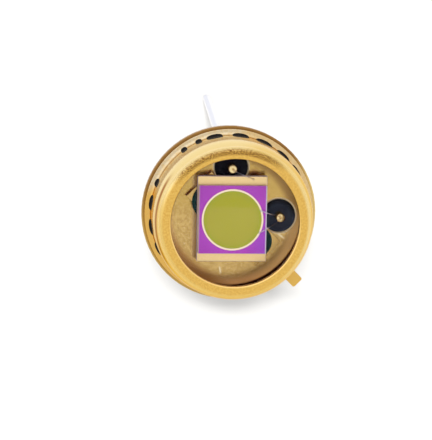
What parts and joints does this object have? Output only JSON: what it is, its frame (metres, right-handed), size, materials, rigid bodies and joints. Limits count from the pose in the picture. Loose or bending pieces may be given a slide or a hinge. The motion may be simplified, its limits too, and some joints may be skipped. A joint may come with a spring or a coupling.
{
  "type": "infrared photodiode",
  "caption": "Infrared photodiode in a round gold-plated metal can with a wide clear window, a square chip with a round sensing area inside, an index tab and long wire leads.",
  "frame": {"origin": "centre of the seating plane under the weld flange, on the optical axis", "axes": "+Z along the optical axis out of the window, +X towards the anode lead, +Y towards the cathode lead, leads along -Z"},
  "size_m": [0.0092, 0.0092, 0.0294],
  "materials": {
    "gold_plate": "satin",
    "tinned_wire": "satin",
    "bead_glass": "gloss",
    "solder_glass": "gloss",
    "window_glass": "gloss",
    "carrier_ceramic": "matte",
    "gold_film": "satin",
    "adhesive": "gloss",
    "solder": "satin",
    "chip": "gloss",
    "chip_coating": "gloss",
    "bond_wire": "satin"
  },
  "bodies": {
    "root": {"header": "gold_plate", "bead_anode": "bead_glass", "bead_cathode": "bead_glass", "lead_anode": "tinned_wire", "lead_cathode": "tinned_wire", "lead_case": "tinned_wire", "cap": "gold_plate", "window_seal": "solder_glass", "window": "window_glass", "pedestal": "gold_plate", "submount_epoxy": "adhesive", "submount": "carrier_ceramic", "submount_pad": "gold_film", "die_solder": "solder", "die": "chip", "active_area": "chip_coating", "contact_ring": "gold_film", "wire_anode_upper": "bond_wire", "wire_anode_lower": "bond_wire", "wire_cathode": "bond_wire"}
  },
  "joints": []
}
